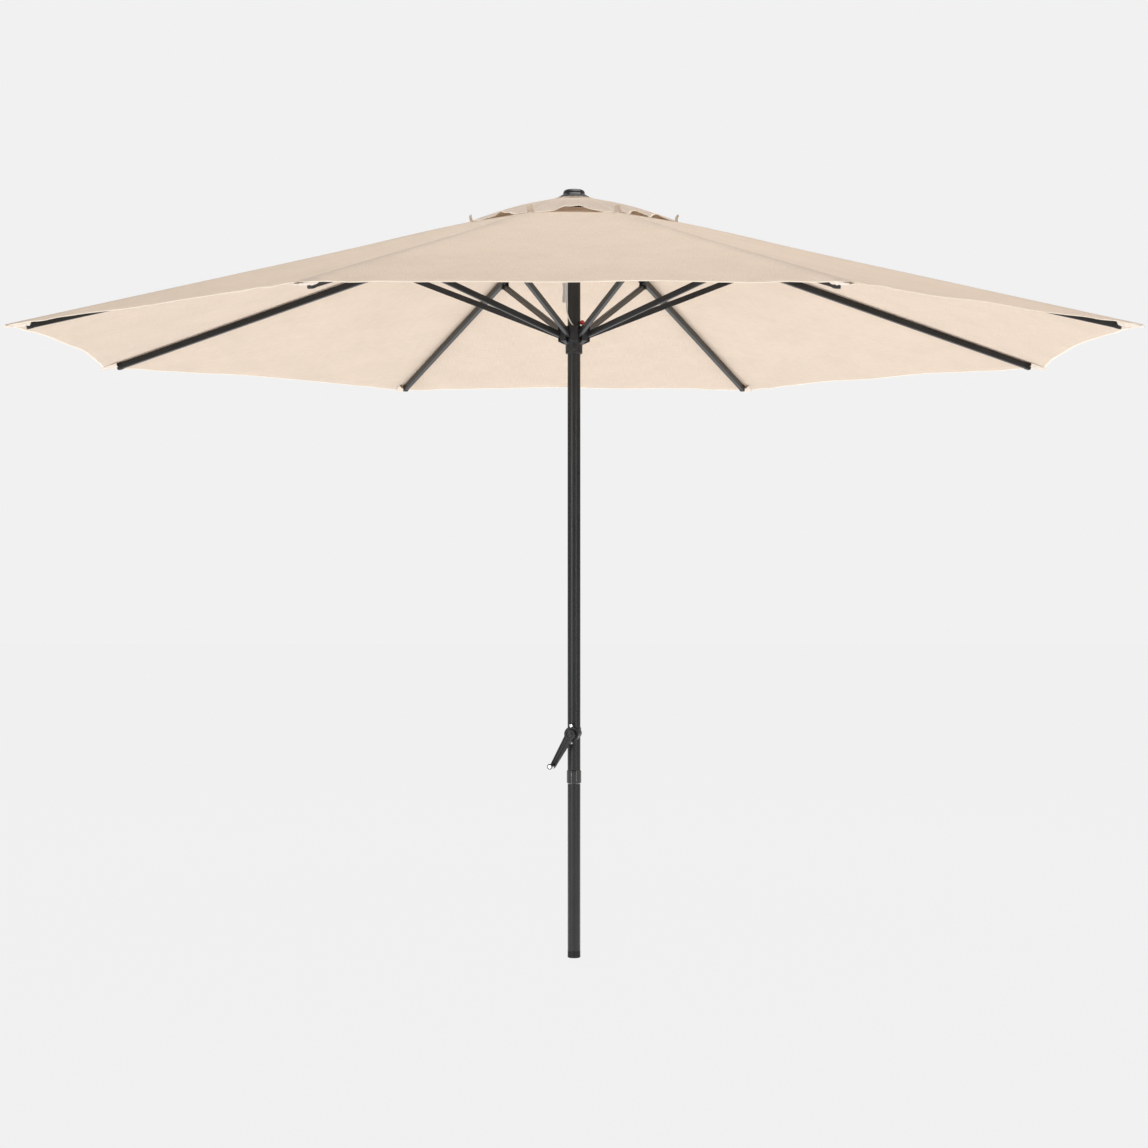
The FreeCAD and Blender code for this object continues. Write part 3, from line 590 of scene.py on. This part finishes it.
def rib_strip(name, rib, reach, across, height, thick, material):
    """Thin sewn piece laid along a rib, riding with it."""
    azimuth = rib_axes(rib)[0]
    upper = np.stack([reach, across, height], axis=-1)
    lower = upper.copy()
    lower[..., 2] -= thick
    wide = np.max(np.abs(across), axis=1, keepdims=True)
    uvs = np.stack([across, reach], axis=-1)
    edges = np.stack([wide - np.abs(across), np.max(reach) - reach], axis=-1)
    upper, lower = turned(upper, azimuth), turned(lower, azimuth)
    piece = two_layers("%s_%d" % (name, rib), upper, lower, uvs, edges, material)
    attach(piece, "rib_%d" % rib)
    return piece


def corner_pocket(rib, material):
    """Pocket of doubled cloth between the rib's tip and the canopy's corner, pulled into small wrinkles."""
    rows, columns = 34, 25
    s = np.linspace(0, 1, rows)[:, None]
    t = np.linspace(-1, 1, columns)[None, :]
    low, high = CORNER_R - TIP_INSET - 0.010, CORNER_R + 0.004
    reach = low + (high - low) * s + 0 * t
    reach = reach + 0.004 * (1 - s) * (1 - t * t)
    wide = 0.024 - 0.010 * s ** 1.5 - 0.006 * np.clip((s - 0.85) / 0.15, 0, 1) ** 2
    across = wide * t
    depth = (0.0135 - 0.0105 * s) * (1 - np.abs(t) ** 3.0)
    wrinkle = 0.0013 * np.sin(11 * t + 4 * s + rib) * np.sin(math.pi * s)
    wrinkle = wrinkle + 0.0009 * np.sin(23 * s + 3 * t + 2 * rib)
    height = cloth_beside(rib, reach, across) - 0.0025 - depth + wrinkle * (1 - t * t)
    return rib_strip("corner_pocket", rib, reach, across, height, 0.0009, material)


def rib_strap(rib, material):
    """Webbing from the crown to the edge of the vent opening, over the rib."""
    s = np.linspace(0, 1, 30)[:, None]
    t = np.linspace(-1, 1, 7)[None, :]
    reach = 0.062 + 0.128 * s + 0 * t
    across = 0.0075 * t + 0 * s
    height = cloth_height(reach) - 0.0024 + 0.0012 * np.sin(math.pi * s) - 0.0004 * np.abs(t)
    return rib_strip("vent_strap", rib, reach, across, height, 0.0011, material)


def cap_tie(rib, material):
    """Upright tab that sews a corner of the vent cap down to the canopy."""
    azimuth = rib_axes(rib)[0]
    rise = np.linspace(0, 1, 14)[:, None]
    side = np.linspace(-1, 1, 9)[None, :]
    low, high = cloth_height(CAP_R) + 0.0008, cloth_height(CAP_R) + 0.0235
    reach = CAP_R - 0.004 + 0.006 * rise + 0.0015 * np.sin(5 * rise + rib) + 0 * side
    across = (0.011 - 0.002 * rise) * side + 0.0015 * np.sin(4 * rise + rib)
    front = np.stack([reach, across, low + (high - low) * rise + 0.001 * np.sin(3 * side + rib)], axis=-1)
    back = front.copy()
    back[..., 0] -= 0.0011
    uvs = np.stack([across, rise * 0.023 + 0 * side], axis=-1)
    edges = np.stack([0.011 - np.abs(across), 0.03 + 0 * across], axis=-1)
    piece = two_layers("cap_tie_%d" % rib, turned(front, azimuth), turned(back, azimuth), uvs, edges, material)
    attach(piece, "rib_%d" % rib)
    return piece


# ---- cord and care tag
def ring_point(radius, degrees, height):
    turn = math.radians(degrees)
    return (radius * math.cos(turn), radius * math.sin(turn), height)


def lift_cord(material):
    """Cord in three pieces: wound and inside the pole, down the outside, and round and through the runner."""
    axis = Vector((math.cos(CRANK_AZIMUTH), math.sin(CRANK_AZIMUTH), 0))
    lateral = Vector((-math.sin(CRANK_AZIMUTH), math.cos(CRANK_AZIMUTH), 0))
    inside = []
    for step in range(160):
        share = 1 - step / 159.0
        turn = math.radians(110 + 250) - 2 * math.pi * 3 * share
        shift = 0.0090 * math.sin(math.pi * share)
        at = lateral * (DRUM_R * math.cos(turn)) + Vector((0, 0, DRUM_R * math.sin(turn))) + axis * -shift * 0.5
        inside.append((at.x, at.y, at.z + CRANK_Z))
    start = inside[-1]
    foot = CRANK_Z + 0.004
    for step in range(1, 40):
        share = step / 39.0
        ease = share * share * (3 - 2 * share)
        x = start[0] + (PULLEY_X + PULLEY_R - start[0]) * ease
        inside.append((x, start[1] * (1 - ease), foot + (PULLEY_Z - foot) * share))
    for step in range(1, 25):
        turn = math.pi * step / 24.0
        inside.append((PULLEY_X + PULLEY_R * math.cos(turn), 0, PULLEY_Z + PULLEY_R * math.sin(turn)))
    pieces = [tube("lift_cord_inside", inside, CORD_R, material)]
    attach(pieces[0], "pole")
    outer = []
    for step in range(61):
        share = step / 60.0
        outer.append((CORD_X, 0.0004 * math.sin(9 * share), PULLEY_Z - (PULLEY_Z - WRAP_TOP) * share))
    pieces.append(tube("lift_cord_outside", outer, CORD_R, material))
    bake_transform(pieces[1])
    wrap = []
    for step in range(40):
        share = step / 39.0
        height = RUNNER_TOP + (WRAP_TOP - RUNNER_TOP) * (1 - share) ** 1.3
        wrap.append(ring_point(-CORD_X - 0.0006 * share, 180 + 90 * share, height))
    for step in range(1, 34):
        share = step / 33.0
        dip = 0.006 - 0.0055 * math.sin(math.pi * share)
        drop = min(1.0, share * 9)
        height = RUNNER_TOP + (GROOVE_Z + dip - RUNNER_TOP) * drop
        wrap.append(ring_point(0.0214 + 0.005 * share, -90 + 68 * share, height))
    for step in range(1, 12):
        share = step / 11.0
        wrap.append((wrap[-1][0], wrap[-1][1], GROOVE_Z + 0.006 + 0.023 * share))
    pieces.append(tube("lift_cord_runner", wrap, CORD_R, material))
    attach(pieces[2], "runner")
    for piece in pieces:
        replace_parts(piece, "lift_cord")
    return pieces


def care_tag(material):
    """Folded label hanging beside the cord, slightly curled."""
    s = np.linspace(0, 1, 40)[:, None]
    t = np.linspace(0, 1, 12)[None, :]
    x = -0.0246 - 0.0096 * t * (1 - 0.05 * s) + 0.0010 * np.sin(5 * s) * t
    y = -0.0010 - 0.0100 * t + 0.0022 * np.sin(math.pi * t) * s ** 1.2 - 0.0020 * s * t
    z = TAG_TOP - TAG_SIZE[1] * s - 0.0008 * t
    front = np.stack([x, y, z], axis=-1)
    back = front.copy()
    back[..., 1] += 0.0007
    uvs = np.stack([TAG_SIZE[0] * t + 0 * s, TAG_SIZE[1] * s + 0 * t], axis=-1)
    edges = np.stack([0.03 + 0 * x, 0.03 + 0 * x], axis=-1)
    piece = two_layers("care_tag_label", front, back, uvs, edges, material)
    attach(piece, "runner")
    ring = [(CORD_X + 0.0036 * math.cos(a), 0.0036 * math.sin(a), TAG_TOP - 0.005 + 0.001 * math.sin(a))
            for a in np.linspace(0, 2 * math.pi, 33)]
    loop = tube("care_tag_loop", ring, 0.0005, material, 8)
    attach(loop, "runner")
    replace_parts(piece, "care_tag")
    return [piece, loop]


# ---- everything together
add_camera()
set_world()
add_floor()
add_softbox("softbox_left", (-4.6, -5.4, 1.5), (0, 0, 1.2), (0.9, 3.4), 165)
add_softbox("softbox_right", (4.4, -5.2, 1.5), (0, 0, 1.2), (0.6, 3.2), 74)
add_softbox("softbox_top", (0.6, -0.6, 5.2), (0, 0, 1.9), (4.0, 4.0), 142)
add_softbox("softbox_floor", (0, 0.4, 0.02), (0, 0.4, 2.0), (6.0, 6.0), 100, False)

frame_black = plain("frame_black", (0.009, 0.0095, 0.010), (0.015, 0.0155, 0.016), (0.33, 0.42), speckle=1600.0,
                    grain=0.08, cloud=9.0, coat=0.03, drawn=(1.0, 1.0, 0.08), mirror=0.30)
plastic_black = plain("plastic_black", (0.010, 0.010, 0.011), (0.017, 0.017, 0.018), (0.40, 0.52),
                      speckle=1400.0, grain=0.14, mirror=0.34)
gloss_black = plain("gloss_black", (0.008, 0.008, 0.009), (0.013, 0.013, 0.014), (0.09, 0.14), speckle=700.0,
                    grain=0.02, cloud=12.0, coat=0.4)
bright_steel = plain("bright_steel", (0.52, 0.52, 0.53), (0.68, 0.68, 0.68), (0.20, 0.32), metal=1.0,
                     speckle=1200.0, grain=0.06, cloud=60.0)
bead_red = plain("bead_red", (0.42, 0.006, 0.010), (0.52, 0.012, 0.016), (0.14, 0.20), speckle=500.0,
                 grain=0.03, cloud=80.0, coat=0.6)
fabric = cloth("canopy_fabric", (0.665, 0.565, 0.465), (0.83, 0.72, 0.615))
lining = cloth("lining", (0.76, 0.68, 0.59), (0.90, 0.83, 0.75), 0.0012, False, 0.30)
webbing = cloth("webbing", (0.60, 0.50, 0.41), (0.78, 0.67, 0.57), 0.0016, False, 0.10)
label = cloth("tag_white", (0.66, 0.65, 0.62), (0.82, 0.81, 0.79), 0.0006, False, 0.20)
# the cord's darker colour is painted shade for the grooves of its braid
cord_white = braid("cord_white", (0.50, 0.49, 0.46), (0.84, 0.83, 0.80))

FINISH = {"pole_end_cap": plastic_black, "joint_collar": gloss_black, "crown_hub": plastic_black,
          "crown_pins": bright_steel, "finial": gloss_black, "pulley": plastic_black, "pulley_pin": bright_steel,
          "runner": plastic_black, "runner_screw": gloss_black, "stop_bead": bead_red, "care_tag": label,
          "lift_cord": cord_white, "crank_housing": plastic_black, "crank_rear_cover": plastic_black,
          "housing_screws": bright_steel, "brake_ring": bright_steel, "crank_spool": plastic_black,
          "crank_arm": plastic_black, "crank_screw": gloss_black, "crank_knob": gloss_black,
          "crank_knob_pin": bright_steel, "canopy": fabric, "vent_cap": fabric}

for node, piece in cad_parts.items():
    finish = plastic_black if node.startswith("rib_tip") else FINISH.get(node, frame_black)
    piece.data.materials.clear()
    piece.data.materials.append(finish)


for panel in range(RIBS):
    for side in (-1, 1):
        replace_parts(canopy_half(panel, side, fabric), "canopy")
        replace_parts(cap_half(panel, side, fabric), "vent_cap")
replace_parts(cap_patch(fabric), "vent_cap")
for rib in range(1, RIBS + 1):
    for made in (corner_pocket(rib, lining), rib_strap(rib, webbing)):
        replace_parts(made, "canopy")
    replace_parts(cap_tie(rib, fabric), "vent_cap")
lift_cord(cord_white)
care_tag(label)
